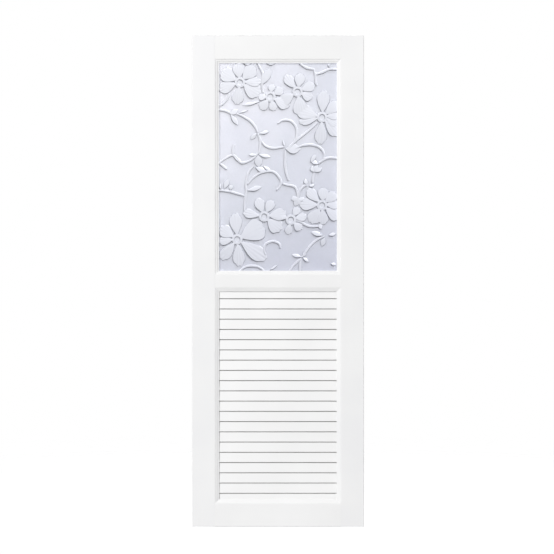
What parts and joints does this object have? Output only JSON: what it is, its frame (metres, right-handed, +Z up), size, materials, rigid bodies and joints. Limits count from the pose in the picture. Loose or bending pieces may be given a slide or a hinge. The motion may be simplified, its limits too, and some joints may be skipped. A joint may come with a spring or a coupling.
{
  "type": "half-glazed louvred door leaf",
  "caption": "White plastic door leaf: stiles and rails round a floral patterned glass pane above and fixed ventilation louvre blades below, both in mitred beads.",
  "frame": {"origin": "on the hinge edge of the leaf, at the middle of its thickness and level with its foot", "axes": "+X across the leaf from the hinge edge to the lock edge, +Y from the front face (seen in the picture) to the rear face, +Z up"},
  "size_m": [0.7, 0.035, 2],
  "materials": {
    "frame_upvc": "satin extruded white",
    "bead_upvc": "satin extruded white",
    "louvre_upvc": "satin extruded white",
    "plug_upvc": "moulded matt",
    "patterned_glass": "obscured glass with raised flowers"
  },
  "bodies": {
    "root": {"bottom_rail": "frame_upvc", "glass_pane": "patterned_glass", "glazing_bead_front_bottom": "bead_upvc", "glazing_bead_front_left": "bead_upvc", "glazing_bead_front_right": "bead_upvc", "glazing_bead_front_top": "bead_upvc", "glazing_bead_rear_bottom": "bead_upvc", "glazing_bead_rear_left": "bead_upvc", "glazing_bead_rear_right": "bead_upvc", "glazing_bead_rear_top": "bead_upvc", "hinge_stile": "frame_upvc", "lock_stile": "frame_upvc", "louvre_bead_front_bottom": "bead_upvc", "louvre_bead_front_left": "bead_upvc", "louvre_bead_front_right": "bead_upvc", "louvre_bead_front_top": "bead_upvc", "louvre_bead_rear_bottom": "bead_upvc", "louvre_bead_rear_left": "bead_upvc", "louvre_bead_rear_right": "bead_upvc", "louvre_bead_rear_top": "bead_upvc", "louvre_blade_01": "louvre_upvc", "louvre_blade_02": "louvre_upvc", "louvre_blade_03": "louvre_upvc", "louvre_blade_04": "louvre_upvc", "louvre_blade_05": "louvre_upvc", "louvre_blade_06": "louvre_upvc", "louvre_blade_07": "louvre_upvc", "louvre_blade_08": "louvre_upvc", "louvre_blade_09": "louvre_upvc", "louvre_blade_10": "louvre_upvc", "louvre_blade_11": "louvre_upvc", "louvre_blade_12": "louvre_upvc", "louvre_blade_13": "louvre_upvc", "louvre_blade_14": "louvre_upvc", "louvre_blade_15": "louvre_upvc", "louvre_blade_16": "louvre_upvc", "louvre_blade_17": "louvre_upvc", "louvre_blade_18": "louvre_upvc", "louvre_blade_19": "louvre_upvc", "louvre_blade_20": "louvre_upvc", "louvre_blade_21": "louvre_upvc", "louvre_channel_left": "louvre_upvc", "louvre_channel_right": "louvre_upvc", "mid_rail": "frame_upvc", "stile_end_plugs": "plug_upvc", "top_rail": "frame_upvc"}
  },
  "joints": []
}
